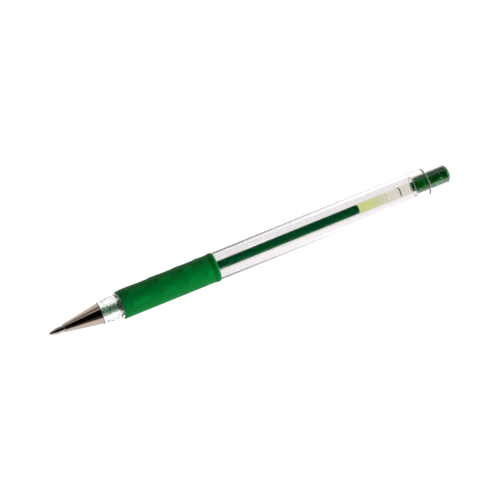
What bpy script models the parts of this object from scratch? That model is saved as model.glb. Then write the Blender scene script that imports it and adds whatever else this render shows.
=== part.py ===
"""Gel pen lying on its side, tip towards -X, built as separate turned and moulded pieces.

Stations are millimetres from the front of the ball along the pen's axis, radii are
millimetres from that axis. The pen rests on z = 0 and its length is centred on x = 0.
"""

import math

import bmesh
import bpy
from mathutils import Matrix

MM = 0.001

# Lengths along the axis, from the ball to the rear dome.
TIP_EXPOSED = 5.0
CONE_LENGTH = 13.0
COLLAR_NECK_LENGTH = 2.2
COLLAR_SLOPE_LENGTH = 1.15
COLLAR_BODY_LENGTH = 2.75
COLLAR_FLANGE_LENGTH = 1.0
GRIP_LENGTH = 34.2
BARREL_LENGTH = 75.6
POST_LENGTH = 6.8
DOME_HEIGHT = 1.3

# Barrel and grip.
BARREL_R = 4.75
BARREL_WALL = 1.25
BARREL_SHOULDER_FILLET = 0.6
GRIP_WALL = 0.5
GRIP_RIM_HEIGHT = 0.2
GRIP_RIM_LENGTH = 1.8
GRIP_RIM_FLAT = 0.9
GRIP_RIM_EDGE = 0.15
# The sleeve's front edge: distance from its front face, share of the wall turned away.
GRIP_FRONT_EDGE = ((0.8, 0.0), (0.4, 0.14), (0.12, 0.4), (0.0, 0.75))
REAR_BORE_STEP = 0.55
REAR_BORE_LENGTH = 11.8
REAR_BORE_STAGE = 0.05
REAR_STAGES_BEFORE_END = (8.4, 2.6)
POST_STEP = 1.1
POST_TAPER = 0.18
POST_CHAMFER = 0.2

# Grip nubs: rows round the sleeve, four nubs to a row, shorter towards the rear.
NUB_ROWS = 7
NUB_FIRST_ROW_DEG = 40.7
NUB_ROW_SHIFT = 1.6
NUB_HALF_WIDTH = 1.25
NUB_SINK = 0.25
NUB_ROOT = 0.25
NUB_STARTS = (2.2, 12.8, 21.6, 28.8)
NUB_LENGTHS = (8.0, 6.1, 4.5, 3.5)

# Front collar and cone: steps down in radius from the barrel to the cone's base.
COLLAR_FLANGE_STEP = 0.45
COLLAR_BODY_STEP = 0.25
COLLAR_NECK_STEP = 0.3
CONE_BASE_STEP = 0.15
COLLAR_EDGE = 0.1
COLLAR_SLEEVE_LENGTH = 7.9
COLLAR_SLEEVE_LEAD = 0.5
COLLAR_SLEEVE_TAPER = 0.3
CONE_EDGE = 0.1
HOLDER_ROOM = 0.12
TIP_LAND = 0.7
HOLDER_BORE_SLOPE = 0.6

# Thread between the collar's spigot and the nose cone.
THREAD_PITCH = 1.0
THREAD_RIDGE_R = 0.16
THREAD_POINTS_PER_TURN = 20
THREAD_END_SHARE = 0.4
THREAD_END_GROWTH = 0.12
SPIGOT_WALL = 0.35
SPIGOT_FRONT_GAP = 0.1
SPIGOT_LEAD = 0.2
SPIGOT_TAPER = 0.15
CONE_THIN_WALL = 0.15
CONE_LIP = 0.25

# Refill.
REFILL_R = 1.85
REFILL_WALL = 0.3
BALL_R = 0.35
BALL_OUT = 0.2
LIP_WALL = 0.065
# The tip's socket and throat, in radii of the ball, from the front of the ball.
SOCKET_END = 1.72
THROAT_START = 2.15
THROAT_END = 4.5
CHANNEL_START = 5.5
THROAT_R = 0.5
POINT_LENGTH = 2.6
TIP_R = 1.1
TIP_SHANK_R = 0.8
TIP_BODY_END = 9.5
TIP_SHANK_LENGTH = 3.6
TIP_CHANNEL_R = 0.45
HOLDER_R = 1.43
HOLDER_BEAD = 0.16
HOLDER_BEAD_HALF = 0.3
HOLDER_BEADS_AT = (21.4, 19.6)
HOLDER_FRONT_LEAD = 0.7
HOLDER_FRONT_TAPER = 0.23
HOLDER_FLANGE_START = 27.2
HOLDER_FLANGE_LENGTH = 1.0
HOLDER_PLUG_LENGTH = 6.1
HOLDER_PLUG_LEAD = 0.3
HOLDER_PLUG_TAPER = 0.2
HOLDER_CHANNEL_R = 0.6
FOLLOWER_LENGTH = 10.2
EMPTY_TUBE_LENGTH = 8.5

# Curved ends of the ink and the follower: distance back from the rim, share of the radius.
INK_END = ((0.0, 0.0), (0.05, 0.6), (0.25, 1.0))
FOLLOWER_HOLLOW = 0.4

# End plug.
PLUG_NOSE_LENGTH = 1.35
PLUG_NOSE_CATCH = 0.05
PLUG_NOSE_AHEAD = 0.65
PLUG_NOSE_EDGE = 0.15
PLUG_LEAD = 0.3
PLUG_BEAD = 0.08
PLUG_BEAD_HALF = 0.35
PLUG_BEADS_BEFORE_END = (2.3, 4.8, 6.1, 8.5)
DOME_RINGS = 5

# Clearances between neighbouring pieces.
SEAT_GAP = 0.05
PRESS_GAP = 0.04
RUN_GAP = 0.06
BALL_GAP = 0.02
REFILL_GAP = 0.1

# Facets round the axis.
BARREL_STEPS = 28
CONE_STEPS = 40
REFILL_STEPS = 32

# Stations derived from the lengths.
CONE_BASE_AT = TIP_EXPOSED + CONE_LENGTH
NECK_END_AT = CONE_BASE_AT + COLLAR_NECK_LENGTH
SLOPE_END_AT = NECK_END_AT + COLLAR_SLOPE_LENGTH
FLANGE_AT = SLOPE_END_AT + COLLAR_BODY_LENGTH
GRIP_AT = FLANGE_AT + COLLAR_FLANGE_LENGTH
GRIP_END_AT = GRIP_AT + GRIP_LENGTH
SHOULDER_AT = GRIP_END_AT + BARREL_LENGTH
POST_END_AT = SHOULDER_AT + POST_LENGTH
TOTAL_LENGTH = POST_END_AT + DOME_HEIGHT
REAR_BORE_AT = POST_END_AT - REAR_BORE_LENGTH
PLUG_NOSE_AT = REAR_BORE_AT - PLUG_NOSE_AHEAD
HOLDER_END_AT = HOLDER_FLANGE_START + HOLDER_FLANGE_LENGTH + HOLDER_PLUG_LENGTH
REFILL_END_AT = PLUG_NOSE_AT - 2 * SEAT_GAP
FOLLOWER_END_AT = REFILL_END_AT - EMPTY_TUBE_LENGTH
FOLLOWER_AT = FOLLOWER_END_AT - FOLLOWER_LENGTH
INK_AT = HOLDER_END_AT + 2 * SEAT_GAP
INK_END_AT = FOLLOWER_AT - SEAT_GAP

# Radii derived from the walls and fits.
BORE_R = BARREL_R - BARREL_WALL
GRIP_BORE_R = BARREL_R - GRIP_WALL
BARREL_NECK_R = GRIP_BORE_R - SEAT_GAP
RIM_R = BARREL_R + GRIP_RIM_HEIGHT
REAR_BORE_R = BORE_R - REAR_BORE_STEP
POST_R = BARREL_R - POST_STEP
COLLAR_FLANGE_R = BARREL_R - COLLAR_FLANGE_STEP
COLLAR_BODY_R = COLLAR_FLANGE_R - COLLAR_BODY_STEP
COLLAR_NECK_R = COLLAR_BODY_R - COLLAR_NECK_STEP
CONE_BASE_R = COLLAR_NECK_R - CONE_BASE_STEP
COLLAR_BORE_R = REFILL_R + REFILL_GAP
SPIGOT_R = COLLAR_BORE_R + SPIGOT_WALL
CONE_THREAD_R = SPIGOT_R + RUN_GAP
CONE_MOUTH_R = TIP_R + SEAT_GAP
CONE_FRONT_R = CONE_MOUTH_R + CONE_LIP
REFILL_BORE_R = REFILL_R - REFILL_WALL
PLUG_NOSE_R = REFILL_BORE_R + PLUG_NOSE_CATCH
INK_R = REFILL_BORE_R - SEAT_GAP
PLUG_R = REAR_BORE_R - 2 * REAR_BORE_STAGE - SEAT_GAP - PLUG_BEAD

# The spigot ends where the cone's wall outside the thread groove gets thin.
GROOVE_R = CONE_THREAD_R + THREAD_RIDGE_R + RUN_GAP
THREAD_SHARE = (GROOVE_R + CONE_THIN_WALL - CONE_FRONT_R) / (CONE_BASE_R - CONE_FRONT_R)
THREAD_AT = TIP_EXPOSED + CONE_LENGTH * THREAD_SHARE

HALF_FACET = math.pi / BARREL_STEPS
AXIS_HEIGHT = RIM_R * math.cos(HALF_FACET)


def empty_scene():
    for obj in list(bpy.data.objects):
        bpy.data.objects.remove(obj)


def new_collection(name):
    made = bpy.data.collections.new(name)
    bpy.context.scene.collection.children.link(made)
    return made


def new_material(name, colour, roughness, metallic=0.0, alpha=1.0):
    made = bpy.data.materials.new(name)
    made.use_nodes = True
    shader = made.node_tree.nodes["Principled BSDF"]
    shader.inputs["Base Color"].default_value = (*colour, 1.0)
    shader.inputs["Roughness"].default_value = roughness
    shader.inputs["Metallic"].default_value = metallic
    shader.inputs["Alpha"].default_value = alpha
    made.diffuse_color = (*colour, alpha)
    return made


def place(obj, station):
    """Put the object's origin on the pen's axis at a station."""
    obj.location = ((station - TOTAL_LENGTH / 2) * MM, 0.0, AXIS_HEIGHT * MM)


def turned(name, outline, steps, material, origin_at, home, tube=True, start=0.0):
    """Spin an outline of (station, radius) points about the pen's axis.

    The outer side is listed from rear to front. A tube's outline closes on itself, a solid
    one starts and ends on the axis.
    """
    c = math.cos(start) * MM
    s = math.sin(start) * MM
    verts = [((station - origin_at) * MM, r * c, r * s) for station, r in outline]
    edges = [(i, i + 1) for i in range(len(verts) - 1)]
    if tube:
        edges.append((len(verts) - 1, 0))
    mesh = bpy.data.meshes.new(name)
    mesh.from_pydata(verts, edges, [])
    mesh.materials.append(material)
    obj = bpy.data.objects.new(name, mesh)
    home.objects.link(obj)
    place(obj, origin_at)
    spin = obj.modifiers.new("spin", "SCREW")
    spin.axis = "X"
    spin.angle = 2 * math.pi
    spin.steps = steps
    spin.render_steps = steps
    spin.use_merge_vertices = True
    spin.merge_threshold = 0.000001
    spin.use_smooth_shade = True
    return obj


def arc(centre_at, centre_r, radius, from_deg, to_deg, count):
    """Points of a circular fillet, with 0 degrees towards the rear and 90 outwards."""
    points = []
    for i in range(count + 1):
        a = math.radians(from_deg + (to_deg - from_deg) * i / count)
        points.append((centre_at + radius * math.cos(a), centre_r + radius * math.sin(a)))
    return points


def bead(centre_at, base_r, height, half_width, count=4):
    """A low rounded ring on the outer side, listed from rear to front."""
    points = []
    for i in range(count + 1):
        a = math.pi * i / count
        points.append((centre_at + half_width * math.cos(a), base_r + height * math.sin(a)))
    return points


def thread_helix(name, extra, overrun, tools):
    """A right-hand helical ridge along the spigot, with a run-out at its front end.

    The tool that cuts the cone's groove is thicker by extra and runs past the cone's base
    by overrun, so that the ridge can leave through the base. The ridge tapers at both ends.
    """
    length = CONE_BASE_AT - THREAD_AT - 4 * THREAD_RIDGE_R + overrun
    count = int(length / THREAD_PITCH * THREAD_POINTS_PER_TURN)
    curve = bpy.data.curves.new(name, "CURVE")
    curve.dimensions = "3D"
    curve.bevel_depth = (THREAD_RIDGE_R + extra) * MM
    curve.bevel_resolution = 2
    curve.use_fill_caps = True
    spline = curve.splines.new("POLY")
    spline.points.add(count)
    for i, point in enumerate(spline.points):
        a = 2 * math.pi * i / THREAD_POINTS_PER_TURN
        x = THREAD_PITCH * i / THREAD_POINTS_PER_TURN + 2 * THREAD_RIDGE_R
        point.co = (x * MM, SPIGOT_R * math.cos(a) * MM, SPIGOT_R * math.sin(a) * MM, 1.0)
        to_end = i if overrun else min(i, count - i)
        point.radius = min(1.0, THREAD_END_SHARE + THREAD_END_GROWTH * to_end)
    raw = bpy.data.objects.new(name + "_curve", curve)
    tools.objects.link(raw)
    bpy.context.view_layer.update()
    graph = bpy.context.evaluated_depsgraph_get()
    mesh = bpy.data.meshes.new_from_object(raw.evaluated_get(graph))
    bpy.data.objects.remove(raw)
    bm = bmesh.new()
    bm.from_mesh(mesh)
    bmesh.ops.remove_doubles(bm, verts=bm.verts, dist=0.000001)
    bmesh.ops.recalc_face_normals(bm, faces=bm.faces)
    bm.to_mesh(mesh)
    bm.free()
    obj = bpy.data.objects.new(name, mesh)
    tools.objects.link(obj)
    place(obj, THREAD_AT)
    obj.hide_render = True
    obj.display_type = "WIRE"
    return obj


def combine(obj, other, operation):
    step = obj.modifiers.new(other.name, "BOOLEAN")
    step.operation = operation
    step.solver = "EXACT"
    step.object = other


def make_barrel(home):
    """Clear tube with a thin neck under the grip, a rounded shoulder and a rear post."""
    clear = new_material("clear_polystyrene", (0.93, 0.91, 0.93), 0.08, alpha=0.3)
    first, second = (POST_END_AT - back for back in REAR_STAGES_BEFORE_END)
    outline = [
        (POST_END_AT, POST_R - 2 * POST_TAPER),
        (POST_END_AT - POST_CHAMFER, POST_R - POST_TAPER),
        (SHOULDER_AT, POST_R),
    ]
    fillet = BARREL_SHOULDER_FILLET
    outline += arc(SHOULDER_AT - fillet, BARREL_R - fillet, fillet, 0, 90, 5)
    outline += [
        (GRIP_END_AT, BARREL_R),
        (GRIP_END_AT, BARREL_NECK_R),
        (GRIP_AT + SEAT_GAP, BARREL_NECK_R),
        (GRIP_AT + SEAT_GAP, BORE_R),
        (REAR_BORE_AT, BORE_R),
        (REAR_BORE_AT, REAR_BORE_R),
        (first, REAR_BORE_R),
        (first, REAR_BORE_R - REAR_BORE_STAGE),
        (second, REAR_BORE_R - REAR_BORE_STAGE),
        (second, REAR_BORE_R - 2 * REAR_BORE_STAGE),
        (POST_END_AT, REAR_BORE_R - 2 * REAR_BORE_STAGE),
    ]
    return turned("barrel_tube", outline, BARREL_STEPS, clear, GRIP_AT, home, start=HALF_FACET)


def make_collar(home, tools):
    """Clear stepped connector: threaded spigot in front, sleeve pressed into the barrel."""
    clear = new_material("clear_collar_plastic", (0.92, 0.92, 0.93), 0.08, alpha=0.3)
    sleeve_r = BORE_R - PRESS_GAP
    sleeve_end = GRIP_AT + COLLAR_SLEEVE_LENGTH
    front = CONE_BASE_AT + SEAT_GAP
    outline = [
        (sleeve_end, sleeve_r - COLLAR_SLEEVE_TAPER),
        (sleeve_end - COLLAR_SLEEVE_LEAD, sleeve_r),
        (GRIP_AT, sleeve_r),
        (GRIP_AT, COLLAR_FLANGE_R),
        (FLANGE_AT, COLLAR_FLANGE_R),
        (FLANGE_AT, COLLAR_BODY_R),
        (SLOPE_END_AT, COLLAR_BODY_R),
        (NECK_END_AT, COLLAR_NECK_R),
        (front + COLLAR_EDGE, COLLAR_NECK_R),
        (front, COLLAR_NECK_R - COLLAR_EDGE),
        (front, SPIGOT_R),
        (THREAD_AT + SPIGOT_FRONT_GAP + SPIGOT_LEAD, SPIGOT_R),
        (THREAD_AT + SPIGOT_FRONT_GAP, SPIGOT_R - SPIGOT_TAPER),
        (THREAD_AT + SPIGOT_FRONT_GAP, COLLAR_BORE_R),
        (sleeve_end, COLLAR_BORE_R),
    ]
    collar = turned("front_collar", outline, CONE_STEPS, clear, CONE_BASE_AT, home)
    combine(collar, thread_helix("spigot_thread", 0.0, 0.0, tools), "UNION")
    return collar


def make_cone(home, tools):
    """Turned metal nose cone with a stepped, threaded bore."""
    metal = new_material("nickel_plated_brass", (0.72, 0.68, 0.64), 0.18, metallic=1.0)
    holder_bore_r = HOLDER_R + HOLDER_ROOM
    holder_at = TIP_BODY_END - TIP_LAND
    outline = [
        (CONE_BASE_AT, CONE_BASE_R - CONE_EDGE),
        (CONE_BASE_AT - CONE_EDGE, CONE_BASE_R),
        (TIP_EXPOSED + CONE_EDGE, CONE_FRONT_R),
        (TIP_EXPOSED, CONE_FRONT_R - CONE_EDGE),
        (TIP_EXPOSED, CONE_MOUTH_R),
        (holder_at, CONE_MOUTH_R),
        (holder_at + HOLDER_BORE_SLOPE, holder_bore_r),
        (THREAD_AT, holder_bore_r),
        (THREAD_AT, CONE_THREAD_R),
        (CONE_BASE_AT, CONE_THREAD_R),
    ]
    cone = turned("nose_cone", outline, CONE_STEPS, metal, TIP_EXPOSED, home)
    combine(cone, thread_helix("thread_cut", RUN_GAP, THREAD_PITCH, tools), "DIFFERENCE")
    return cone


def make_nubs(tools):
    """All the grip's nubs as separate low ellipsoids sunk in the sleeve's surface."""
    bm = bmesh.new()
    centre_r = BARREL_R - NUB_SINK
    for row in range(NUB_ROWS):
        turn = math.radians(NUB_FIRST_ROW_DEG + 360.0 * row / NUB_ROWS)
        shift = NUB_ROW_SHIFT * (row % 2)
        for start, length in zip(NUB_STARTS, NUB_LENGTHS):
            middle = start + length / 2 - shift
            size = Matrix.Diagonal(
                (
                    length / 2 * MM,
                    NUB_HALF_WIDTH * MM,
                    (NUB_SINK + GRIP_RIM_HEIGHT) * MM,
                    1.0,
                )
            )
            lift = Matrix.Translation((middle * MM, 0.0, centre_r * MM))
            around = Matrix.Rotation(turn, 4, "X")
            made = bmesh.ops.create_uvsphere(bm, u_segments=12, v_segments=6, radius=1.0)
            for vert in made["verts"]:
                if vert.co.z < 0.0:
                    vert.co.z *= NUB_ROOT
            bmesh.ops.transform(bm, matrix=around @ lift @ size, verts=made["verts"])
    mesh = bpy.data.meshes.new("grip_nubs")
    bm.to_mesh(mesh)
    bm.free()
    obj = bpy.data.objects.new("grip_nubs", mesh)
    tools.objects.link(obj)
    place(obj, GRIP_AT)
    obj.hide_render = True
    obj.display_type = "WIRE"
    return obj


def make_grip(home, tools):
    """Rubber sleeve stretched over the barrel's neck, with a flared rear rim and nubs."""
    rubber = new_material("green_rubber", (0.01, 0.20, 0.03), 0.55)
    front = GRIP_AT + SEAT_GAP
    rear = GRIP_END_AT - SEAT_GAP
    outline = [
        (rear, RIM_R - GRIP_RIM_EDGE),
        (rear - GRIP_RIM_EDGE, RIM_R),
        (rear - GRIP_RIM_FLAT, RIM_R),
        (rear - GRIP_RIM_LENGTH, BARREL_R),
    ]
    outline += [(front + along, BARREL_R - share * GRIP_WALL) for along, share in GRIP_FRONT_EDGE]
    outline += [
        (front, GRIP_BORE_R),
        (rear, GRIP_BORE_R),
    ]
    grip = turned("grip_sleeve", outline, BARREL_STEPS, rubber, GRIP_AT, home, start=HALF_FACET)
    combine(grip, make_nubs(tools), "UNION")
    return grip


def make_plug(home):
    """Moulded end plug: nose behind the refill, ring beads and a domed end."""
    green = new_material("green_plug_plastic", (0.005, 0.13, 0.02), 0.15)
    body_at = PLUG_NOSE_AT + PLUG_NOSE_LENGTH
    dome_at = POST_END_AT + SEAT_GAP
    outline = [(TOTAL_LENGTH, 0.0)]
    for i in range(1, DOME_RINGS + 1):
        a = math.pi / 2 * (1 - i / DOME_RINGS)
        along = (TOTAL_LENGTH - dome_at) * math.sin(a)
        outline.append((dome_at + along, PLUG_R * math.cos(a)))
    for back in PLUG_BEADS_BEFORE_END:
        outline += bead(POST_END_AT - back, PLUG_R, PLUG_BEAD, PLUG_BEAD_HALF)
    outline += [
        (body_at + PLUG_LEAD, PLUG_R),
        (body_at, PLUG_R - PLUG_LEAD),
        (body_at, PLUG_NOSE_R),
        (PLUG_NOSE_AT + PLUG_NOSE_EDGE, PLUG_NOSE_R),
        (PLUG_NOSE_AT, PLUG_NOSE_R - PLUG_NOSE_EDGE),
        (PLUG_NOSE_AT, 0.0),
    ]
    return turned("end_plug", outline, BARREL_STEPS, green, body_at, home, tube=False)


def make_refill_tube(home):
    """Thin translucent tube, held between its tip holder and the end plug's nose."""
    clear = new_material("clear_polypropylene", (0.86, 0.84, 0.82), 0.25, alpha=0.35)
    front = HOLDER_FLANGE_START + HOLDER_FLANGE_LENGTH + SEAT_GAP
    outline = [
        (REFILL_END_AT, REFILL_R),
        (front, REFILL_R),
        (front, REFILL_BORE_R),
        (REFILL_END_AT, REFILL_BORE_R),
    ]
    return turned("refill_tube", outline, REFILL_STEPS, clear, front, home)


def make_holder(home):
    """Pale green holder: takes the tip's shank in front, plugs the tube behind."""
    pale = new_material("pale_green_polypropylene", (0.42, 0.62, 0.50), 0.3, alpha=0.7)
    flange_end = HOLDER_FLANGE_START + HOLDER_FLANGE_LENGTH
    rear = HOLDER_END_AT
    front = TIP_BODY_END + SEAT_GAP
    shank_end = TIP_BODY_END + TIP_SHANK_LENGTH + SEAT_GAP
    outline = [
        (rear, INK_R - HOLDER_PLUG_TAPER),
        (rear - HOLDER_PLUG_LEAD, INK_R),
        (flange_end, INK_R),
        (flange_end, REFILL_R),
        (HOLDER_FLANGE_START, REFILL_R),
        (HOLDER_FLANGE_START, HOLDER_R),
    ]
    for bead_at in HOLDER_BEADS_AT:
        outline += bead(bead_at, HOLDER_R, HOLDER_BEAD, HOLDER_BEAD_HALF)
    outline += [
        (front + HOLDER_FRONT_LEAD, HOLDER_R),
        (front, HOLDER_R - HOLDER_FRONT_TAPER),
        (front, TIP_SHANK_R + PRESS_GAP),
        (shank_end, TIP_SHANK_R + PRESS_GAP),
        (shank_end, HOLDER_CHANNEL_R),
        (rear, HOLDER_CHANNEL_R),
    ]
    return turned("tip_holder", outline, REFILL_STEPS, pale, front, home)


def make_tip(home):
    """Turned metal writing tip with a crimped lip round the ball and an ink channel."""
    metal = new_material("nickel_silver", (0.66, 0.62, 0.58), 0.16, metallic=1.0)
    socket_r = BALL_R + BALL_GAP
    lip_r = math.sqrt(BALL_R**2 - (BALL_R - BALL_OUT) ** 2) + BALL_GAP
    shank_end = TIP_BODY_END + TIP_SHANK_LENGTH
    outline = [
        (shank_end, TIP_SHANK_R),
        (TIP_BODY_END, TIP_SHANK_R),
        (TIP_BODY_END, TIP_R),
        (POINT_LENGTH, TIP_R),
        (BALL_OUT, lip_r + LIP_WALL),
        (BALL_OUT, lip_r),
        (BALL_R, socket_r),
        (BALL_R * SOCKET_END, socket_r),
        (BALL_R * THROAT_START, BALL_R * THROAT_R),
        (BALL_R * THROAT_END, BALL_R * THROAT_R),
        (BALL_R * CHANNEL_START, TIP_CHANNEL_R),
        (shank_end, TIP_CHANNEL_R),
    ]
    return turned("writing_tip", outline, REFILL_STEPS, metal, BALL_R, home)


def make_ball(home):
    """Ball held in the tip's socket, free to roll."""
    carbide = new_material("tungsten_carbide", (0.45, 0.45, 0.46), 0.12, metallic=1.0)
    bm = bmesh.new()
    bmesh.ops.create_uvsphere(bm, u_segments=20, v_segments=12, radius=BALL_R * MM)
    for face in bm.faces:
        face.smooth = True
    mesh = bpy.data.meshes.new("ball")
    bm.to_mesh(mesh)
    bm.free()
    mesh.transform(Matrix.Rotation(math.pi / 2, 4, "Y"))
    mesh.materials.append(carbide)
    obj = bpy.data.objects.new("ball", mesh)
    home.objects.link(obj)
    place(obj, BALL_R)
    return obj


def make_ink(home):
    """Gel ink in the tube, with a domed rear end."""
    green = new_material("green_gel_ink", (0.0, 0.045, 0.013), 0.2)
    outline = [(INK_END_AT - back, INK_R * share) for back, share in INK_END]
    outline += [
        (INK_AT, INK_R),
        (INK_AT, 0.0),
    ]
    return turned("ink_column", outline, REFILL_STEPS, green, INK_AT, home, tube=False)


def make_follower(home):
    """Plug of clear grease behind the ink, cupped over the ink's end and hollow behind."""
    grease = new_material("clear_lime_grease", (0.68, 0.80, 0.26), 0.3, alpha=0.6)
    outline = [
        (FOLLOWER_END_AT - FOLLOWER_HOLLOW, 0.0),
        (FOLLOWER_END_AT, INK_R),
    ]
    outline += [(FOLLOWER_AT - back, INK_R * share) for back, share in reversed(INK_END)]
    return turned("ink_follower", outline, REFILL_STEPS, grease, FOLLOWER_AT, home, tube=False)


def main():
    empty_scene()
    home = new_collection("gel_pen")
    tools = new_collection("cutters")
    make_barrel(home)
    make_collar(home, tools)
    make_grip(home, tools)
    make_cone(home, tools)
    make_plug(home)
    make_refill_tube(home)
    make_holder(home)
    make_tip(home)
    make_ball(home)
    make_ink(home)
    make_follower(home)


main()
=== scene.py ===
import math

import bmesh
import bpy
from mathutils import Matrix, Vector


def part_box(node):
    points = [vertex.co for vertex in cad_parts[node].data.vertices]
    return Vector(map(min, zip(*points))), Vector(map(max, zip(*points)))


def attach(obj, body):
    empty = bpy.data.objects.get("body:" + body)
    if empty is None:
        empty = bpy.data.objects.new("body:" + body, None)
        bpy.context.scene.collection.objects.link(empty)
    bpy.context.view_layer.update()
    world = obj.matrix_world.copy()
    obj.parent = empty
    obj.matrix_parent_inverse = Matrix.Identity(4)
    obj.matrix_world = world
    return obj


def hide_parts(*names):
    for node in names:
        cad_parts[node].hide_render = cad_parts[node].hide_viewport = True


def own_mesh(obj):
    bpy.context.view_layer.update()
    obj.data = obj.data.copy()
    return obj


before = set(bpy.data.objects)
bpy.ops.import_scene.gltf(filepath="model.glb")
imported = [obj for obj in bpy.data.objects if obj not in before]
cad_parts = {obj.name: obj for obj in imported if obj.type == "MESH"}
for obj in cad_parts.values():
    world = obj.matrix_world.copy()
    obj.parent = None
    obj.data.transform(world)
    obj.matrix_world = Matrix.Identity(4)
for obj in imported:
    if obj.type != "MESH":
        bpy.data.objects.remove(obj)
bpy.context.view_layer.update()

# ---------------------------------------------------------------------------------------
# Barrel: one injection-moulded tube of clear polystyrene. A thin neck in front carries the
# grip, the rear steps down to a short tapered post that takes the posted cap.

MM = 0.001
TIP_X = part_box("ball")[0].x
AXIS_Z = (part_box("barrel_tube")[0].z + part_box("barrel_tube")[1].z) / 2


def front_of(node):
    """Millimetres from the front of the ball to a CAD node's front."""
    return (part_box(node)[0].x - TIP_X) / MM


def rear_of(node):
    """Millimetres from the front of the ball to a CAD node's rear."""
    return (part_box(node)[1].x - TIP_X) / MM


def rounded(corners, arc_points=5):
    """An outline of (station, radius, fillet) corners with its fillets as arcs."""
    outline = []
    for i, (s, r, fillet) in enumerate(corners):
        here = Vector((s, r))
        back = Vector(corners[i - 1][:2]) - here
        ahead = Vector(corners[(i + 1) % len(corners)][:2]) - here
        if fillet <= 0 or back.length < 1e-6 or ahead.length < 1e-6:
            outline.append((s, r))
            continue
        angle = back.angle(ahead)
        if angle > math.radians(177):
            outline.append((s, r))
            continue
        reach = min(fillet / math.tan(angle / 2), back.length * 0.49, ahead.length * 0.49)
        radius = reach * math.tan(angle / 2)
        to_centre = (back.normalized() + ahead.normalized()).normalized()
        centre = here + to_centre * (radius / math.sin(angle / 2))
        start = here + back.normalized() * reach - centre
        end = here + ahead.normalized() * reach - centre
        sweep = start.angle_signed(end)
        for k in range(arc_points + 1):
            turned_by = Matrix.Rotation(-sweep * k / arc_points, 2)
            point = centre + turned_by @ start
            outline.append((point.x, point.y))
    return outline


def settle(name, mesh, sharp_deg=35.0):
    """Merges a mesh's doubles, turns its faces outwards and puts it in the scene."""
    bm = bmesh.new()
    bm.from_mesh(mesh)
    bmesh.ops.remove_doubles(bm, verts=bm.verts, dist=1e-7)
    bmesh.ops.recalc_face_normals(bm, faces=bm.faces)
    bm.to_mesh(mesh)
    bm.free()
    mesh.shade_smooth()
    mesh.set_sharp_from_angle(angle=math.radians(sharp_deg))
    mesh.name = name
    piece = bpy.data.objects.new(name, mesh)
    bpy.context.scene.collection.objects.link(piece)
    return piece


def evaluated(obj):
    """An object's shape with its modifiers, as a mesh of its own; the object goes."""
    bpy.context.view_layer.update()
    graph = bpy.context.evaluated_depsgraph_get()
    mesh = bpy.data.meshes.new_from_object(obj.evaluated_get(graph))
    bpy.data.objects.remove(obj)
    return mesh


def turned(name, outline, steps=144, tube=True):
    """Spins an outline of (station, radius) about the pen's axis, as a lathe would."""
    mesh = bpy.data.meshes.new(name)
    verts = [(TIP_X + s * MM, r * MM, 0.0) for s, r in outline]
    edges = [(i, i + 1) for i in range(len(verts) - 1)]
    if tube:
        edges.append((len(verts) - 1, 0))
    mesh.from_pydata(verts, edges, [])
    blank = bpy.data.objects.new(name + "_blank", mesh)
    bpy.context.scene.collection.objects.link(blank)
    spin = blank.modifiers.new("spin", "SCREW")
    spin.axis = "X"
    spin.steps = steps
    spin.render_steps = steps
    spin.use_merge_vertices = True
    spin.merge_threshold = 1e-6
    result = evaluated(blank)
    result.transform(Matrix.Translation((0.0, 0.0, AXIS_Z)))
    return settle(name, result)


def linear(code, alpha=1.0):
    """An sRGB hex colour as linear RGBA."""
    values = [int(code[i : i + 2], 16) / 255 for i in (1, 3, 5)]
    return (*[v / 12.92 if v <= 0.04045 else ((v + 0.055) / 1.055) ** 2.4 for v in values], alpha)


def add(tree, kind, inputs=None, **settings):
    """Adds a node to a tree with its settings; an input that is a socket is linked."""
    made = tree.nodes.new(kind)
    for key, value in settings.items():
        setattr(made, key, value)
    for key, value in (inputs or {}).items():
        if isinstance(value, bpy.types.NodeSocket):
            tree.links.new(value, made.inputs[key])
        else:
            made.inputs[key].default_value = value
    return made


def new_material(name):
    """A material with an empty node tree, its output and its shader."""
    made = bpy.data.materials.new(name)
    made.use_nodes = True
    made.node_tree.nodes.clear()
    shader = made.node_tree.nodes.new("ShaderNodeBsdfPrincipled")
    add(made.node_tree, "ShaderNodeOutputMaterial", {"Surface": shader.outputs["BSDF"]})
    return made, made.node_tree, shader


def dress(piece, material):
    piece.data.materials.clear()
    piece.data.materials.append(material)


BARREL_R = 4.75
NECK_R = 4.2
BORE_R = 3.5
REAR_BORE_R = 2.95
BORE_STAGE = 0.05
POST_FOOT_R = 3.65
POST_END_R = 3.45
POST_END = rear_of("barrel_tube")
POST_LENGTH = 6.8
SHOULDER = POST_END - POST_LENGTH
GRIP_END = rear_of("grip_sleeve") + 0.05
REAR_BORE = POST_END - 11.8
BORE_STAGE_1 = SHOULDER - 1.6
BORE_STAGE_2 = POST_END - 2.55

barrel = turned(
    "barrel",
    rounded(
        [
            (POST_END, POST_END_R, 0.18),
            (SHOULDER, POST_FOOT_R, 0.12),
            (SHOULDER, BARREL_R, 0.54),
            (GRIP_END, BARREL_R, 0.12),
            (GRIP_END, NECK_R, 0.05),
            (front_of("barrel_tube"), NECK_R, 0.1),
            (front_of("barrel_tube"), BORE_R, 0.1),
            (REAR_BORE, BORE_R, 0.12),
            (REAR_BORE, REAR_BORE_R, 0.08),
            (BORE_STAGE_1, REAR_BORE_R, 0.02),
            (BORE_STAGE_1, REAR_BORE_R - BORE_STAGE, 0.02),
            (BORE_STAGE_2, REAR_BORE_R - BORE_STAGE, 0.02),
            (BORE_STAGE_2, REAR_BORE_R - 2 * BORE_STAGE, 0.02),
            (POST_END, REAR_BORE_R - 2 * BORE_STAGE, 0.12),
        ]
    ),
)

# Clear moulded polystyrene: glass-like gloss, a faint grey-lilac tint (on the barrel this is partly
# painted shade: it darkens the view through the wall as a shadowed table behind would), a barely
# wavy surface from the mould with hair-fine scuffs, and a milky rim where it is seen edge on.
FLOW_WAVE = 9.0
SCUFF_SIZE = 0.35


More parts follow.
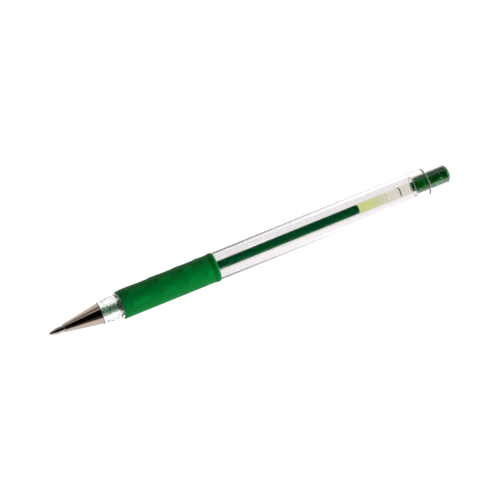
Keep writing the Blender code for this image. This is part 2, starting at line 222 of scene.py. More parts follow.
def clear_plastic(name, tint, ior, wave_depth):
    made, tree, shader = new_material(name)
    place = add(tree, "ShaderNodeTexCoord").outputs["Object"]
    stretch = add(tree, "ShaderNodeMapping", {"Vector": place, "Scale": (0.15, 1.0, 1.0)})
    flow = add(
        tree,
        "ShaderNodeTexNoise",
        {"Vector": stretch.outputs["Vector"], "Scale": 1 / (FLOW_WAVE * MM), "Detail": 2.0},
    )
    scuffs = add(
        tree,
        "ShaderNodeTexNoise",
        {"Vector": place, "Scale": 1 / (SCUFF_SIZE * MM), "Detail": 4.0, "Distortion": 1.5},
    )
    gloss = add(
        tree,
        "ShaderNodeMapRange",
        {"Value": scuffs.outputs["Fac"], "From Min": 0.45, "From Max": 0.8, "To Min": 0.0, "To Max": 0.015},
    )
    bump = add(
        tree,
        "ShaderNodeBump",
        {"Height": flow.outputs["Fac"], "Strength": 0.02, "Distance": wave_depth * MM},
    )
    limb = add(tree, "ShaderNodeLayerWeight", {"Blend": 0.5})
    depth = add(
        tree,
        "ShaderNodeMapRange",
        {"Value": limb.outputs["Facing"], "From Min": 0.57, "From Max": 0.84, "To Min": 1.0, "To Max": 0.3},
    )
    tree.links.new(gloss.outputs["Result"], shader.inputs["Roughness"])
    tree.links.new(bump.outputs["Normal"], shader.inputs["Normal"])
    tree.links.new(depth.outputs["Result"], shader.inputs["Transmission Weight"])
    shader.inputs["Base Color"].default_value = linear(tint)
    shader.inputs["IOR"].default_value = ior
    return made


# The barrel's grey-lilac tint is partly painted shade: it darkens what shows through the barrel, as if the
# table behind lay in shadow.
dress(barrel, clear_plastic("moulded clear polystyrene", "#f2f0f1", 1.59, 0.05))
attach(barrel, "barrel")
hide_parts("barrel_tube")

# ---------------------------------------------------------------------------------------
# Front collar: a stepped connector of the same clear plastic. Its rear sleeve is pressed
# into the barrel, its flange stops the grip, and its spigot carries the nose cone's thread.

FLANGE_R = 4.3
BODY_R = 4.05
NECKED_R = 3.75
SPIGOT_R = 2.3
COLLAR_BORE_R = 1.95
SLEEVE_R = 3.46
COLLAR_FRONT = rear_of("nose_cone") + 0.05
NECK_STEP = COLLAR_FRONT + 2.15
SLOPE_END = NECK_STEP + 1.15
FLANGE_FRONT = front_of("barrel_tube") - 1.05
FLANGE_REAR = FLANGE_FRONT + 1.0
SPIGOT_FRONT = front_of("front_collar")
THREAD_PITCH = 1.0
THREAD_RIDGE_R = 0.16

collar = turned(
    "collar",
    rounded(
        [
            (rear_of("front_collar"), SLEEVE_R, 0.4),
            (FLANGE_REAR, SLEEVE_R, 0.05),
            (FLANGE_REAR, FLANGE_R, 0.08),
            (FLANGE_FRONT, FLANGE_R, 0.1),
            (FLANGE_FRONT, BODY_R, 0.06),
            (SLOPE_END, BODY_R, 0.25),
            (NECK_STEP, NECKED_R, 0.25),
            (COLLAR_FRONT, NECKED_R, 0.12),
            (COLLAR_FRONT, SPIGOT_R, 0.08),
            (SPIGOT_FRONT, SPIGOT_R, 0.12),
            (SPIGOT_FRONT, COLLAR_BORE_R, 0.08),
            (rear_of("front_collar"), COLLAR_BORE_R, 0.15),
        ]
    ),
)

THREAD_START = SPIGOT_FRONT + 0.7
THREAD_END = COLLAR_FRONT - 0.4
THREAD_STEPS = 60


def thread_ridge(start, end, radius, height, pitch):
    """A right-hand ridge wound round the axis, faded out at both ends."""
    bm = bmesh.new()
    steps = int((end - start) / pitch * THREAD_STEPS)
    section = ((-0.32, -0.03), (-0.1, 1.0), (0.1, 1.0), (0.32, -0.03))
    rings = []
    for i in range(steps + 1):
        along = start + (end - start) * i / steps
        angle = -2 * math.pi * (along - start) / pitch
        grow = min(1.0, i / THREAD_STEPS, (steps - i) / THREAD_STEPS)
        ring = []
        for across, share in section:
            r = (radius + height * (grow * share if share > 0 else share)) * MM
            x = TIP_X + (along + across * pitch) * MM
            ring.append(bm.verts.new((x, r * math.sin(angle), AXIS_Z + r * math.cos(angle))))
        rings.append(ring)
    for near, far in zip(rings, rings[1:]):
        for k in range(4):
            bm.faces.new((near[k], near[(k + 1) % 4], far[(k + 1) % 4], far[k]))
    bm.faces.new(rings[0])
    bm.faces.new(rings[-1])
    mesh = bpy.data.meshes.new("thread_ridge")
    bm.to_mesh(mesh)
    bm.free()
    return mesh


ridge_mesh = thread_ridge(THREAD_START, THREAD_END, SPIGOT_R, THREAD_RIDGE_R, THREAD_PITCH)
ridge = settle("thread_ridge", ridge_mesh)
joined = bmesh.new()
joined.from_mesh(collar.data)
joined.from_mesh(ridge.data)
joined.to_mesh(collar.data)
joined.free()
bpy.data.objects.remove(ridge)
collar.data.shade_smooth()
collar.data.set_sharp_from_angle(angle=math.radians(35))

dress(collar, clear_plastic("moulded clear collar polystyrene", "#f8f8f7", 1.59, 0.05))
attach(collar, "barrel")
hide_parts("front_collar")

# ---------------------------------------------------------------------------------------
# Grip: a moulded sleeve of green thermoplastic rubber, stretched over the barrel's neck up
# to the collar's flange. It has a flared rear rim and seven rows of low oblong nubs.

GRIP_R = 4.75
GRIP_BORE_R = 4.25
RIM_R = 4.95
GRIP_FRONT = front_of("grip_sleeve")
GRIP_REAR = rear_of("grip_sleeve")
RIM_LENGTH = 1.8
NUB_ROWS = 7
FIRST_ROW_DEG = 40.7
ROW_SHIFT = 1.6
NUB_HEIGHT = 0.15
NUB_HALF_WIDTH = 1.4
NUB_FRONT = 1.4
NUBS = ((1.9, 8.0), (12.5, 6.1), (21.3, 4.5), (28.5, 3.5))

sleeve = turned(
    "grip_body",
    rounded(
        [
            (GRIP_REAR, RIM_R, 0.25),
            (GRIP_REAR - RIM_LENGTH * 0.5, RIM_R, 0.3),
            (GRIP_REAR - RIM_LENGTH, GRIP_R, 0.6),
            (GRIP_FRONT, GRIP_R, 0.42),
            (GRIP_FRONT, GRIP_BORE_R, 0.05),
            (GRIP_REAR, GRIP_BORE_R, 0.1),
        ]
    ),
)


def nub_blank(name, length):
    """A low oblong ridge on the sleeve's curve: steep towards the tip, then a long gentle fall."""
    bm = bmesh.new()
    bmesh.ops.create_grid(bm, x_segments=60, y_segments=20, size=1.0)
    for vert in bm.verts:
        x = (vert.co.x + 1.0) * length / 2
        y = vert.co.y * NUB_HALF_WIDTH
        rise = min(1.0, x / NUB_FRONT)
        height = (3 - 2 * rise) * rise**2 * (1.0 - (x / length) ** 2)
        across = 0.5 + 0.5 * math.cos(math.pi * vert.co.y)
        swell = height * across * (NUB_HEIGHT + 0.02) - 0.02
        vert.co = Vector((x - length / 2, y, math.sqrt(GRIP_R**2 - y * y) - GRIP_R + swell)) * MM
    mesh = bpy.data.meshes.new(name)
    bm.to_mesh(mesh)
    bm.free()
    return mesh


def nub_rows_tree():
    """Geometry Nodes that set one nub on each row round the sleeve, every other one ahead."""
    tree = bpy.data.node_groups.new("nub_rows", "GeometryNodeTree")
    face = tree.interface
    face.new_socket("Geometry", in_out="INPUT", socket_type="NodeSocketGeometry")
    face.new_socket("Nub", in_out="INPUT", socket_type="NodeSocketObject")
    face.new_socket("Rubber", in_out="INPUT", socket_type="NodeSocketMaterial")
    face.new_socket("Rows", in_out="INPUT", socket_type="NodeSocketInt")
    face.new_socket("First Row", in_out="INPUT", socket_type="NodeSocketFloat")
    face.new_socket("Sleeve Radius", in_out="INPUT", socket_type="NodeSocketFloat")
    face.new_socket("Along", in_out="INPUT", socket_type="NodeSocketFloat")
    face.new_socket("Row Shift", in_out="INPUT", socket_type="NodeSocketFloat")
    face.new_socket("Geometry", in_out="OUTPUT", socket_type="NodeSocketGeometry")
    given = add(tree, "NodeGroupInput").outputs
    rows = add(tree, "GeometryNodeMeshLine", {"Count": given["Rows"]})
    index = add(tree, "GeometryNodeInputIndex").outputs[0]

    def maths(operation, a, b=0.0):
        return add(tree, "ShaderNodeMath", {0: a, 1: b}, operation=operation).outputs[0]

    pace = maths("DIVIDE", 2 * math.pi, given["Rows"])
    angle = maths("ADD", maths("MULTIPLY", index, pace), given["First Row"])
    odd = maths("MODULO", index, 2.0)
    x = maths("SUBTRACT", given["Along"], maths("MULTIPLY", odd, given["Row Shift"]))
    y = maths("MULTIPLY", maths("MULTIPLY", maths("SINE", angle), given["Sleeve Radius"]), -1.0)
    z = maths("MULTIPLY", maths("COSINE", angle), given["Sleeve Radius"])
    spot = add(tree, "ShaderNodeCombineXYZ", {"X": x, "Y": y, "Z": z})
    placed = add(
        tree,
        "GeometryNodeSetPosition",
        {"Geometry": rows.outputs["Mesh"], "Position": spot.outputs["Vector"]},
    )
    turn = add(tree, "ShaderNodeCombineXYZ", {"X": angle})
    nub = add(tree, "GeometryNodeObjectInfo", {"Object": given["Nub"]})
    copies = add(
        tree,
        "GeometryNodeInstanceOnPoints",
        {
            "Points": placed.outputs["Geometry"],
            "Instance": nub.outputs["Geometry"],
            "Rotation": turn.outputs["Vector"],
        },
    )
    solid = add(tree, "GeometryNodeRealizeInstances", {"Geometry": copies.outputs["Instances"]})
    coated = add(
        tree,
        "GeometryNodeSetMaterial",
        {"Geometry": solid.outputs["Geometry"], "Material": given["Rubber"]},
    )
    add(tree, "NodeGroupOutput", {"Geometry": coated.outputs["Geometry"]})
    return tree


def grown(name, tree, **inputs):
    """Runs a Geometry Nodes tree with these named inputs and gives its result as a mesh."""
    holder = bpy.data.objects.new(name, bpy.data.meshes.new(name))
    bpy.context.scene.collection.objects.link(holder)
    step = holder.modifiers.new(name, "NODES")
    step.node_group = tree
    sockets = {i.name: i.identifier for i in tree.interface.items_tree if i.in_out == "INPUT"}
    for key, value in inputs.items():
        step[sockets[key.replace("_", " ")]] = value
    return evaluated(holder)


# Thermoplastic rubber from an etched mould: a fine grain and hardly any shine, so the light
# falls off softly and only the nubs' slopes stand out.
rubber, tree, shader = new_material("moulded green thermoplastic rubber")
place = add(tree, "ShaderNodeTexCoord").outputs["Object"]
patches = add(tree, "ShaderNodeTexNoise", {"Vector": place, "Scale": 250.0, "Detail": 3.0})
tone = add(tree, "ShaderNodeMix", {"Factor": patches.outputs["Fac"]}, data_type="RGBA")
tone.inputs[6].default_value = linear("#006424")
tone.inputs[7].default_value = linear("#006e2c")
grain = add(tree, "ShaderNodeTexNoise", {"Vector": place, "Scale": 1 / (0.12 * MM), "Detail": 3.0})
feel = add(
    tree,
    "ShaderNodeMapRange",
    {"Value": grain.outputs["Fac"], "To Min": 0.42, "To Max": 0.62},
)
bump = add(
    tree,
    "ShaderNodeBump",
    {"Height": grain.outputs["Fac"], "Strength": 0.35, "Distance": 0.02 * MM},
)
tree.links.new(tone.outputs[2], shader.inputs["Base Color"])
tree.links.new(feel.outputs["Result"], shader.inputs["Roughness"])
tree.links.new(bump.outputs["Normal"], shader.inputs["Normal"])
shader.inputs["IOR"].default_value = 1.5
shader.inputs["Specular IOR Level"].default_value = 0.05

row_tree = nub_rows_tree()
grip_mesh = bmesh.new()
grip_mesh.from_mesh(sleeve.data)
for start, length in NUBS:
    blank = bpy.data.objects.new("nub_blank", nub_blank("nub_blank", length))
    bpy.context.scene.collection.objects.link(blank)
    rows = grown(
        "nub_rows",
        row_tree,
        Nub=blank,
        Rubber=rubber,
        Rows=NUB_ROWS,
        First_Row=math.radians(FIRST_ROW_DEG),
        Sleeve_Radius=GRIP_R * MM,
        Along=TIP_X + (GRIP_FRONT + start + length / 2 + ROW_SHIFT * 0.2) * MM,
        Row_Shift=ROW_SHIFT * MM,
    )
    bpy.data.objects.remove(blank)
    rows.transform(Matrix.Translation((0.0, 0.0, AXIS_Z)))
    grip_mesh.from_mesh(rows)
grip_mesh.to_mesh(sleeve.data)
grip_mesh.free()
sleeve.data.shade_smooth()
sleeve.data.set_sharp_from_angle(angle=math.radians(40))
dress(sleeve, rubber)
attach(sleeve, "barrel")
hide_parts("grip_sleeve")

# ---------------------------------------------------------------------------------------
# Nose cone: brass turned on an automatic lathe and nickel plated. It screws onto the
# collar's spigot and holds the refill's tip.

CONE_FRONT = front_of("nose_cone")
CONE_REAR = rear_of("nose_cone")
CONE_FRONT_R = 1.4
CONE_BASE_R = 3.6
CONE_MOUTH_R = 1.15
CONE_HOLDER_R = 1.55
CONE_THREAD_R = 2.36
TIP_BODY_END = 9.5

cone = turned(
    "cone",
    rounded(
        [
            (CONE_REAR, CONE_BASE_R, 0.12),
            (CONE_FRONT, CONE_FRONT_R, 0.12),
            (CONE_FRONT, CONE_MOUTH_R, 0.06),
            (TIP_BODY_END - 0.7, CONE_MOUTH_R, 0.05),
            (TIP_BODY_END - 0.1, CONE_HOLDER_R, 0.05),
            (SPIGOT_FRONT - 0.1, CONE_HOLDER_R, 0.05),
            (SPIGOT_FRONT - 0.1, CONE_THREAD_R, 0.05),
            (CONE_REAR, CONE_THREAD_R, 0.1),
        ]
    ),
)


def turned_metal(name, colour, roughness, groove_pitch):
    """Plated, lathe-turned metal: a mirror whose fine turning rings blur the light a little
    around the axis, with slight clouding from handling."""
    made, tree, shader = new_material(name)
    place = add(tree, "ShaderNodeTexCoord").outputs["Object"]
    rings = add(
        tree,
        "ShaderNodeTexWave",
        {"Vector": place, "Scale": 1 / (groove_pitch * MM) / 20, "Distortion": 0.4, "Detail": 2.0},
        bands_direction="X",
    )
    cloud = add(tree, "ShaderNodeTexNoise", {"Vector": place, "Scale": 300.0, "Detail": 4.0})
    blur = add(
        tree,
        "ShaderNodeMapRange",
        {"Value": cloud.outputs["Fac"], "To Min": roughness * 0.8, "To Max": roughness * 1.4},
    )
    bump = add(
        tree,
        "ShaderNodeBump",
        {"Height": rings.outputs["Fac"], "Strength": 0.15, "Distance": 0.004 * MM},
    )
    tree.links.new(blur.outputs["Result"], shader.inputs["Roughness"])
    tree.links.new(bump.outputs["Normal"], shader.inputs["Normal"])
    shader.inputs["Base Color"].default_value = linear(colour)
    shader.inputs["Metallic"].default_value = 1.0
    return made


dress(cone, turned_metal("nickel-plated turned brass", "#b8a99c", 0.08, 0.2))
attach(cone, "nose_cone")
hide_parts("nose_cone")

# ---------------------------------------------------------------------------------------
# End plug: one small moulding of green plastic, pushed into the rear bore. Its nose stops
# the refill, its ring beads grip the bore, and its domed end closes the pen.

PLUG_FRONT = front_of("end_plug")
PLUG_REAR = rear_of("end_plug")
PLUG_R = 2.72
PLUG_BEAD = 0.08
NOSE_R = 1.6
PLUG_BODY = PLUG_FRONT + 1.35


def bead(centre, radius, height, half_width, count=6):
    """A low rounded ring, as outline points from rear to front."""
    angles = [math.pi * i / count for i in range(count + 1)]
    return [(centre + half_width * math.cos(a), radius + height * math.sin(a)) for a in angles]


dome = [(PLUG_REAR, 0.0)]
for i in range(1, 13):
    a = math.radians(90 - 7.5 * i)
    dome.append((POST_END + 0.05 + (PLUG_REAR - POST_END - 0.05) * math.sin(a), PLUG_R * math.cos(a)))
plug_outline = list(dome)
for centre in (POST_END - 2.3, SHOULDER + 2.0, SHOULDER + 0.7, SHOULDER - 1.7):
    plug_outline += bead(centre, PLUG_R, PLUG_BEAD, 0.35)
plug_outline += rounded(
    [
        (SHOULDER - 2.3, PLUG_R, 0.0),
        (PLUG_BODY, PLUG_R, 0.3),
        (PLUG_BODY, NOSE_R, 0.1),
        (PLUG_FRONT, NOSE_R, 0.25),
        (PLUG_FRONT, 0.0, 0.0),
    ]
)
plug = turned("plug", plug_outline, tube=False)

# Dyed polystyrene from a polished mould: deep green, glossy, faintly swirled by the flow.
gloss_green, tree, shader = new_material("moulded green polystyrene")
place = add(tree, "ShaderNodeTexCoord").outputs["Object"]
swirl = add(tree, "ShaderNodeTexNoise", {"Vector": place, "Scale": 400.0, "Detail": 3.0})
tone = add(tree, "ShaderNodeMix", {"Factor": swirl.outputs["Fac"]}, data_type="RGBA")
tone.inputs[6].default_value = linear("#00741c")
tone.inputs[7].default_value = linear("#00842a")
skin = add(
    tree,
    "ShaderNodeMapRange",
    {"Value": swirl.outputs["Fac"], "To Min": 0.04, "To Max": 0.09},
)
tree.links.new(tone.outputs[2], shader.inputs["Base Color"])
tree.links.new(skin.outputs["Result"], shader.inputs["Roughness"])
dress(plug, gloss_green)
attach(plug, "barrel")
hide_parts("end_plug")

# ---------------------------------------------------------------------------------------
# Refill tube: extruded polypropylene, cut to length. It is slightly cloudy, so it looks
# warm grey where no ink backs it.

REFILL_R = 1.85
REFILL_BORE_R = 1.55
RESIDUE_AT = 125.1
RESIDUE_HALF = 0.2
refill = turned(
    "refill",
    rounded(
        [
            (rear_of("refill_tube"), REFILL_R, 0.05),
            (front_of("refill_tube"), REFILL_R, 0.05),
            (front_of("refill_tube"), REFILL_BORE_R, 0.05),
            (rear_of("refill_tube"), REFILL_BORE_R, 0.05),
        ],
        arc_points=3,
    ),
    steps=96,
)

# Natural polypropylene with draw lines along it. Ink and grease wet the bore, so the tube
# bends light little and its index is low. An arc of dried ink stays on the empty bore.
cloudy, tree, shader = new_material("extruded natural polypropylene")
place = add(tree, "ShaderNodeTexCoord").outputs["Object"]
lines = add(tree, "ShaderNodeMapping", {"Vector": place, "Scale": (0.02, 1.0, 1.0)})
draw = add(
    tree,
    "ShaderNodeTexNoise",
    {"Vector": lines.outputs["Vector"], "Scale": 1 / (0.4 * MM), "Detail": 2.0},
)
haze = add(tree, "ShaderNodeMapRange", {"Value": draw.outputs["Fac"], "To Min": 0.02, "To Max": 0.06})
tree.links.new(haze.outputs["Result"], shader.inputs["Roughness"])
apart = add(tree, "ShaderNodeSeparateXYZ", {"Vector": place}).outputs
above = add(tree, "ShaderNodeMath", {0: apart["Z"], 1: AXIS_Z}, operation="SUBTRACT").outputs[0]
across = add(tree, "ShaderNodeCombineXYZ", {"Y": apart["Y"], "Z": above})
radius = add(tree, "ShaderNodeVectorMath", {0: across.outputs["Vector"]}, operation="LENGTH")
inner = add(
    tree,
    "ShaderNodeMath",
    {0: radius.outputs["Value"], 1: (REFILL_BORE_R + 0.05) * MM},
    operation="LESS_THAN",
)
near = add(
    tree,
    "ShaderNodeMath",
    {0: apart["X"], 1: TIP_X + RESIDUE_AT * MM, 2: RESIDUE_HALF * MM},
    operation="COMPARE",
)
ring = add(tree, "ShaderNodeMath", {0: inner.outputs[0], 1: near.outputs[0]}, operation="MULTIPLY")
upper = add(tree, "ShaderNodeMath", {0: above, 1: 0.0}, operation="GREATER_THAN")
stain = add(
    tree, "ShaderNodeMath", {0: ring.outputs[0], 1: upper.outputs[0]}, operation="MULTIPLY"
).outputs[0]
tone = add(tree, "ShaderNodeMix", {"Factor": stain}, data_type="RGBA")
tone.inputs[6].default_value = linear("#fdfcf4")
tone.inputs[7].default_value = linear("#1f8a4c")
clear = add(tree, "ShaderNodeMapRange", {"Value": stain, "To Min": 1.0, "To Max": 0.2})
tree.links.new(tone.outputs[2], shader.inputs["Base Color"])
tree.links.new(clear.outputs["Result"], shader.inputs["Transmission Weight"])
shader.inputs["IOR"].default_value = 1.06
dress(refill, cloudy)
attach(refill, "refill")
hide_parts("refill_tube")

# ---------------------------------------------------------------------------------------
# Ink: water-based green gel that fills the tube as a column, with a rounded rear end.

INK_R = 1.53
INK_FRONT = front_of("ink_column")
INK_REAR = rear_of("ink_column")
ink = turned(
    "ink",
    rounded(
        [
            (INK_REAR, 0.0, 0.0),
            (INK_REAR, INK_R, 0.45),
            (INK_FRONT, INK_R, 0.05),
            (INK_FRONT, 0.0, 0.0),
        ]
    ),
    steps=96,
    tube=False,
)
# Pigmented gel: opaque, with hardly any shine of its own behind two clear walls. Its colour
# is lighter than the gel looks, because those walls and the dark flags take light from it.
gel, tree, shader = new_material("green gel ink")
place = add(tree, "ShaderNodeTexCoord").outputs["Object"]
cloud = add(tree, "ShaderNodeTexNoise", {"Vector": place, "Scale": 150.0, "Detail": 2.0})
tone = add(tree, "ShaderNodeMix", {"Factor": cloud.outputs["Fac"]}, data_type="RGBA")
tone.inputs[6].default_value = linear("#006f40")
tone.inputs[7].default_value = linear("#007747")
tree.links.new(tone.outputs[2], shader.inputs["Base Color"])
shader.inputs["Roughness"].default_value = 0.05
shader.inputs["Specular IOR Level"].default_value = 0.08
dress(ink, gel)
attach(ink, "refill")
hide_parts("ink_column")
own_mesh(ink)

# ---------------------------------------------------------------------------------------
# Follower: a plug of clear lime-dyed grease behind the ink that seals it from the air. The
# dye fades towards its rear.

FOLLOWER_FRONT = front_of("ink_follower")
FOLLOWER_REAR = rear_of("ink_follower")
follower = turned(
    "follower",
    rounded(
        [
            (FOLLOWER_REAR - 0.4, 0.0, 0.0),
            (FOLLOWER_REAR, INK_R, 0.1),
            (FOLLOWER_FRONT + 0.1, INK_R, 0.05),
            (FOLLOWER_FRONT + 0.3, INK_R * 0.8, 0.2),
            (FOLLOWER_FRONT + 0.35, 0.0, 0.0),
        ]
    ),
    steps=96,
    tube=False,
)
# Clear grease: light passes straight through and picks up the dye.
grease, tree, shader = new_material("lime follower grease")
place = add(tree, "ShaderNodeTexCoord").outputs["Object"]
along = add(tree, "ShaderNodeSeparateXYZ", {"Vector": place}).outputs["X"]
fade = add(
    tree,
    "ShaderNodeMapRange",
    {
        "Value": along,
        "From Min": TIP_X + (FOLLOWER_FRONT + 4.5) * MM,
        "From Max": TIP_X + FOLLOWER_REAR * MM,
    },
)
tone = add(tree, "ShaderNodeMix", {"Factor": fade.outputs["Result"]}, data_type="RGBA")
tone.inputs[6].default_value = linear("#f0ffb6")
tone.inputs[7].default_value = linear("#fcfbf6")
tree.links.new(tone.outputs[2], shader.inputs["Base Color"])
shader.inputs["Roughness"].default_value = 0.02
shader.inputs["Transmission Weight"].default_value = 1.0
shader.inputs["IOR"].default_value = 1.02
dress(follower, grease)
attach(follower, "follower")
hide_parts("ink_follower")

# ---------------------------------------------------------------------------------------
# Tip holder: pale green polypropylene moulding that plugs the tube and grips the tip's
# shank. Two ring beads stiffen it where it passes through the clear collar.

HOLDER_R = 1.43
HOLDER_FRONT = front_of("tip_holder")
HOLDER_REAR = rear_of("tip_holder")
HOLDER_FLANGE = 27.2
SHANK_R = 0.8
SHANK_END = rear_of("writing_tip") + 0.05
holder_outline = rounded(
    [
        (HOLDER_REAR, INK_R, 0.25),
        (HOLDER_FLANGE + 1.0, INK_R, 0.03),
        (HOLDER_FLANGE + 1.0, REFILL_R, 0.05),
        (HOLDER_FLANGE, REFILL_R, 0.08),
        (HOLDER_FLANGE, HOLDER_R, 0.05),
        (SLOPE_END + 0.5, HOLDER_R, 0.0),
    ]
)[1:]
holder_outline += bead(SLOPE_END + 0.05, HOLDER_R, 0.16, 0.3)
holder_outline += bead(NECK_STEP - 0.6, HOLDER_R, 0.16, 0.3)
holder_outline += [
    (HOLDER_FRONT + 0.7, HOLDER_R),
    (HOLDER_FRONT + 0.1, HOLDER_R - 0.2),
    (HOLDER_FRONT, HOLDER_R - 0.3),
    (HOLDER_FRONT, SHANK_R + 0.04),
    (SHANK_END, SHANK_R + 0.04),
    (SHANK_END, 0.6),
    (HOLDER_REAR, 0.6),
    (HOLDER_REAR, INK_R - 0.25),
]
holder = turned("holder", holder_outline, steps=96)
# Lightly dyed polypropylene: half clear, so its beads and channel show as soft outlines.
pale, tree, shader = new_material("moulded pale green polypropylene")
place = add(tree, "ShaderNodeTexCoord").outputs["Object"]
cloud = add(tree, "ShaderNodeTexNoise", {"Vector": place, "Scale": 500.0, "Detail": 2.0})
tone = add(tree, "ShaderNodeMix", {"Factor": cloud.outputs["Fac"]}, data_type="RGBA")
tone.inputs[6].default_value = linear("#b4dcc4")
tone.inputs[7].default_value = linear("#c4e6d0")
tree.links.new(tone.outputs[2], shader.inputs["Base Color"])
shader.inputs["Roughness"].default_value = 0.05
shader.inputs["IOR"].default_value = 1.49
shader.inputs["Transmission Weight"].default_value = 0.6
dress(holder, pale)
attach(holder, "refill")
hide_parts("tip_holder")

# ---------------------------------------------------------------------------------------
# Writing tip: turned nickel silver with a bored ink channel and a lip crimped round the
# ball.

BALL_R = (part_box("ball")[1].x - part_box("ball")[0].x) / MM / 2
TIP_R = 1.1
POINT_END = 2.6
LIP = front_of("writing_tip")
SOCKET_R = BALL_R + 0.02
tip = turned(
    "tip",
    rounded(
        [
            (rear_of("writing_tip"), SHANK_R, 0.1),
            (TIP_BODY_END, SHANK_R, 0.03),
            (TIP_BODY_END, TIP_R, 0.08),
            (POINT_END, TIP_R, 0.15),
            (LIP + 0.14, 0.46, 0.05),
            (LIP, 0.403, 0.015),
            (LIP, 0.338, 0.01),
            (BALL_R, SOCKET_R, 0.02),
            (BALL_R * 1.72, SOCKET_R, 0.02),
            (BALL_R * 2.15, BALL_R * 0.5, 0.02),
            (BALL_R * 4.5, BALL_R * 0.5, 0.02),
            (BALL_R * 5.5, 0.45, 0.02),
            (rear_of("writing_tip"), 0.45, 0.05),
        ],
        arc_points=3,
    ),
    steps=96,
)
dress(tip, turned_metal("turned nickel silver", "#b6aaa0", 0.08, 0.12))
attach(tip, "refill")
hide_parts("writing_tip")

# ---------------------------------------------------------------------------------------
# Ball: a ground tungsten carbide sphere that rolls in the socket and meters the ink.

bm = bmesh.new()
bmesh.ops.create_icosphere(bm, subdivisions=4, radius=BALL_R * MM)
ball_mesh = bpy.data.meshes.new("ball_ground")
bm.to_mesh(ball_mesh)
bm.free()
ball_mesh.transform(Matrix.Translation((TIP_X + BALL_R * MM, 0.0, AXIS_Z)))
ball = settle("ball_ground", ball_mesh)
dress(ball, turned_metal("ground tungsten carbide", "#8f8f92", 0.2, 0.05))
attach(ball, "ball")
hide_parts("ball")

# ---------------------------------------------------------------------------------------
# Studio: an opal table lit from inside, a surround that is brighter at the horizon, dark flags
# and pale reflectors that the metal mirrors as bands, and two soft lamps low at the rear.

FLOOR_SIZE = 3.0
floor_mesh = bpy.data.meshes.new("table_top")
half = FLOOR_SIZE / 2
floor_mesh.from_pydata(
    [(-half, -half, 0), (half, -half, 0), (half, half, 0), (-half, half, 0)], [], [(0, 1, 2, 3)]
)
floor = bpy.data.objects.new("table_top", floor_mesh)
bpy.context.scene.collection.objects.link(floor)
opal, tree, shader = new_material("opal acrylic sheet")
place = add(tree, "ShaderNodeTexCoord").outputs["Object"]
fibre = add(tree, "ShaderNodeTexNoise", {"Vector": place, "Scale": 900.0, "Detail": 3.0})
tone = add(tree, "ShaderNodeMix", {"Factor": fibre.outputs["Fac"]}, data_type="RGBA")
tone.inputs[6].default_value = linear("#6c6c6c")
tone.inputs[7].default_value = linear("#747474")
tree.links.new(tone.outputs[2], shader.inputs["Base Color"])
shader.inputs["Roughness"].default_value = 0.9
shader.inputs["Specular IOR Level"].default_value = 0.1
shader.inputs["Emission Color"].default_value = (1.0, 1.0, 1.0, 1.0)
shader.inputs["Emission Strength"].default_value = 1.05
floor_mesh.materials.append(opal)

scene = bpy.context.scene
scene.view_settings.view_transform = "Standard"
world = bpy.data.worlds.new("studio")
scene.world = world
world.use_nodes = True
sky = world.node_tree
skyward = add(sky, "ShaderNodeTexCoord").outputs["Generated"]
height = add(sky, "ShaderNodeSeparateXYZ", {"Vector": skyward})
glow = add(
    sky,
    "ShaderNodeMapRange",
    {"Value": height.outputs["Z"], "From Min": 0.2, "From Max": 0.5, "To Min": 1.0, "To Max": 0.4},
)
sky.links.new(glow.outputs["Result"], sky.nodes["Background"].inputs["Strength"])
sky.nodes["Background"].inputs["Color"].default_value = (1.0, 1.0, 1.0, 1.0)


def direction(azimuth, elevation):
    """From the pen towards a point in the studio, angles in degrees as the camera's."""
    a = math.radians(azimuth)
    e = math.radians(elevation)
    return Vector((math.sin(a) * math.cos(e), -math.cos(a) * math.cos(e), math.sin(e)))


def card(name, lean_from, lean_to, x_from, x_to, colour, glow=0.0):
    """A board along the pen between two angles from the vertical, towards -Y. A glowing one
    is seen only in reflections, so that it doesn't light the pen."""
    a = math.radians(lean_from)
    b = math.radians(lean_to)
    near = Vector((0, -math.sin(a), math.cos(a))) * CARD_DISTANCE
    far = Vector((0, -math.sin(b), math.cos(b))) * CARD_DISTANCE
    start = Vector((x_from, 0, 0))
    end = Vector((x_to, 0, 0))
    mesh = bpy.data.meshes.new(name)
    mesh.from_pydata([near + start, near + end, far + end, far + start], [], [(0, 1, 2, 3)])
    made = bpy.data.objects.new(name, mesh)
    scene.collection.objects.link(made)
    board, _, shader = new_material(name + " board")
    shader.inputs["Base Color"].default_value = linear(colour)
    shader.inputs["Roughness"].default_value = 1.0
    shader.inputs["Specular IOR Level"].default_value = 0.0
    shader.inputs["Emission Color"].default_value = (1.0, 1.0, 1.0, 1.0)
    shader.inputs["Emission Strength"].default_value = glow
    mesh.materials.append(board)
    made.visible_camera = False
    made.visible_diffuse = glow == 0.0


CARD_DISTANCE = 0.9
card("overhead_flag", -12.0, 54.0, -1.2, 1.2, "#050505")
card("front_flag", 54.0, 69.0, -1.2, 1.2, "#3a3634")
card("low_front_flag", 69.0, 79.0, -1.2, 1.2, "#101010")
card("back_flag", -47.0, -36.0, -1.2, 1.2, "#101010")
card("top_reflector", -35.0, -12.5, -1.2, 0.04, "#000000", glow=0.5)
card("back_reflector", -90.0, -53.0, -1.2, 0.04, "#000000", glow=0.85)
card("front_reflector", 80.0, 90.0, -1.2, 0.04, "#000000", glow=0.75)


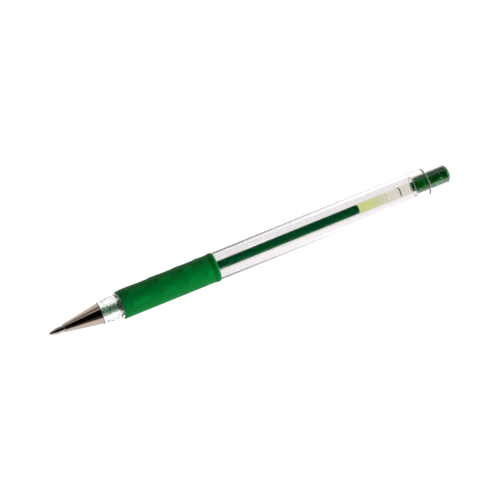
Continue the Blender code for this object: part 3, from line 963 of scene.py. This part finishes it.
def softbox(name, azimuth, elevation, width, height, power):
    """A soft lamp aimed at the pen. It lights the matt surfaces and isn't mirrored."""
    data = bpy.data.lights.new(name, "AREA")
    data.shape = "RECTANGLE"
    data.size = width
    data.size_y = height
    data.energy = power
    lamp = bpy.data.objects.new(name, data)
    scene.collection.objects.link(lamp)
    lamp.location = direction(azimuth, elevation) * 0.85
    lamp.visible_glossy = False
    lamp.rotation_mode = "QUATERNION"
    lamp.rotation_quaternion = (-lamp.location).to_track_quat("-Z", "Y")


softbox("low_softbox", 42.0, 17.0, 0.22, 0.12, 4.8)
softbox("end_softbox", 80.0, 8.0, 0.25, 0.2, 22.0)

# A snip of black paper behind the dome keeps the end lamp off it.
SNIP_HALF = 4.5
SNIP_BEHIND = 6.0
SNIP_X = TIP_X + (PLUG_REAR + SNIP_BEHIND) * MM
snip_mesh = bpy.data.meshes.new("end_flag")
snip_mesh.from_pydata(
    [
        (SNIP_X, y * SNIP_HALF * MM - MM, AXIS_Z + (z * SNIP_HALF + 1.0) * MM)
        for y, z in ((-1, -1), (1, -1), (1, 1), (-1, 1))
    ],
    [],
    [(0, 1, 2, 3)],
)
snip = bpy.data.objects.new("end_flag", snip_mesh)
scene.collection.objects.link(snip)
snip_paper, _, shader = new_material("end_flag paper")
shader.inputs["Base Color"].default_value = linear("#050505")
shader.inputs["Roughness"].default_value = 1.0
snip_mesh.materials.append(snip_paper)
snip.visible_camera = False
snip.visible_glossy = False
snip.visible_transmission = False

# Camera: a long lens looking down on the pen from its tip side.
AZIMUTH = -25.0
ELEVATION = 60.4
DISTANCE = 5.0
SPAN = 0.1623
AIM = (0.0, 0.0, AXIS_Z)

lens = bpy.data.cameras.new("camera")
lens.sensor_width = 36.0
lens.lens = 36.0 * DISTANCE / SPAN
lens.shift_x = 0.0008
lens.shift_y = 0.0058
camera = bpy.data.objects.new("camera", lens)
scene.collection.objects.link(camera)
back = direction(AZIMUTH, ELEVATION)
camera.location = Vector(AIM) + back * DISTANCE
camera.rotation_mode = "QUATERNION"
camera.rotation_quaternion = (-back).to_track_quat("-Z", "Y")
lens.clip_start = 0.05
lens.clip_end = 20.0
scene.camera = camera
